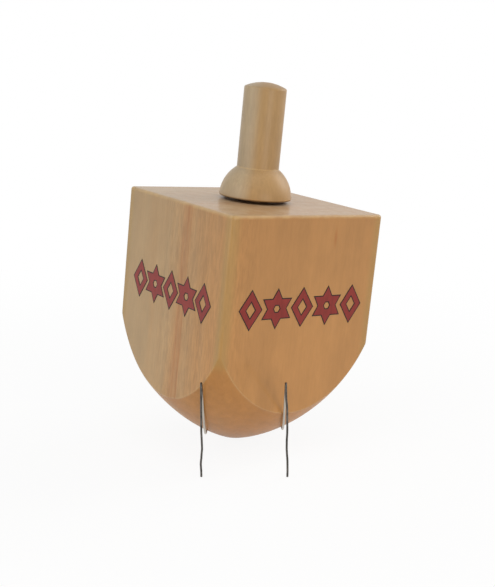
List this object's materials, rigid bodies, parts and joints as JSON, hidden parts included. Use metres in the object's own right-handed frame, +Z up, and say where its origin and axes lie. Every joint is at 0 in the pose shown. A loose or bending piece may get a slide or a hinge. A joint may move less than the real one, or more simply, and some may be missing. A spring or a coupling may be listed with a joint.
{
  "type": "dreidel",
  "caption": "Square wooden spinning top with a turned nose and a stem handle, held upright with a slight lean in a bent wire stand.",
  "frame": {"origin": "on the table, midway between the two sides of the stand and midway between its front and rear legs", "axes": "+Z up, front at -Y, the dreidel leans towards +X"},
  "size_m": [0.116, 0.1114, 0.162],
  "materials": {
    "block_wood": "clear satin lacquer on pale hardwood",
    "handle_wood": "clear satin lacquer on pale hardwood",
    "red_ink": "brick red screen ink under lacquer",
    "dark_ink": "black screen ink under lacquer",
    "steel_wire": "drawn steel wire, dull grey"
  },
  "bodies": {
    "stand": {"left_front_leg": "steel_wire", "left_front_hook": "steel_wire", "left_rear_hook": "steel_wire", "left_rear_leg": "steel_wire", "right_front_leg": "steel_wire", "right_front_hook": "steel_wire", "right_rear_hook": "steel_wire", "right_rear_leg": "steel_wire", "rear_floor_bar": "steel_wire"},
    "handle": {"handle": "handle_wood"},
    "block": {"block": "block_wood", "right_face_red_marks": "red_ink", "right_face_dark_lines": "dark_ink", "left_face_red_marks": "red_ink", "left_face_dark_lines": "dark_ink", "rear_right_face_red_marks": "red_ink", "rear_right_face_dark_lines": "dark_ink", "rear_left_face_red_marks": "red_ink", "rear_left_face_dark_lines": "dark_ink"}
  },
  "joints": [
    {"name": "dreidel_lift", "type": "slide", "parent": "stand", "child": "handle", "axis": [0, 0, 1], "range_m": [0, 0.055]},
    {"name": "dreidel_spin", "type": "hinge", "parent": "handle", "child": "block", "pos_m": [0, 0, 0.06116], "axis": [0.0958, 0, 0.9954], "continuous": true}
  ]
}
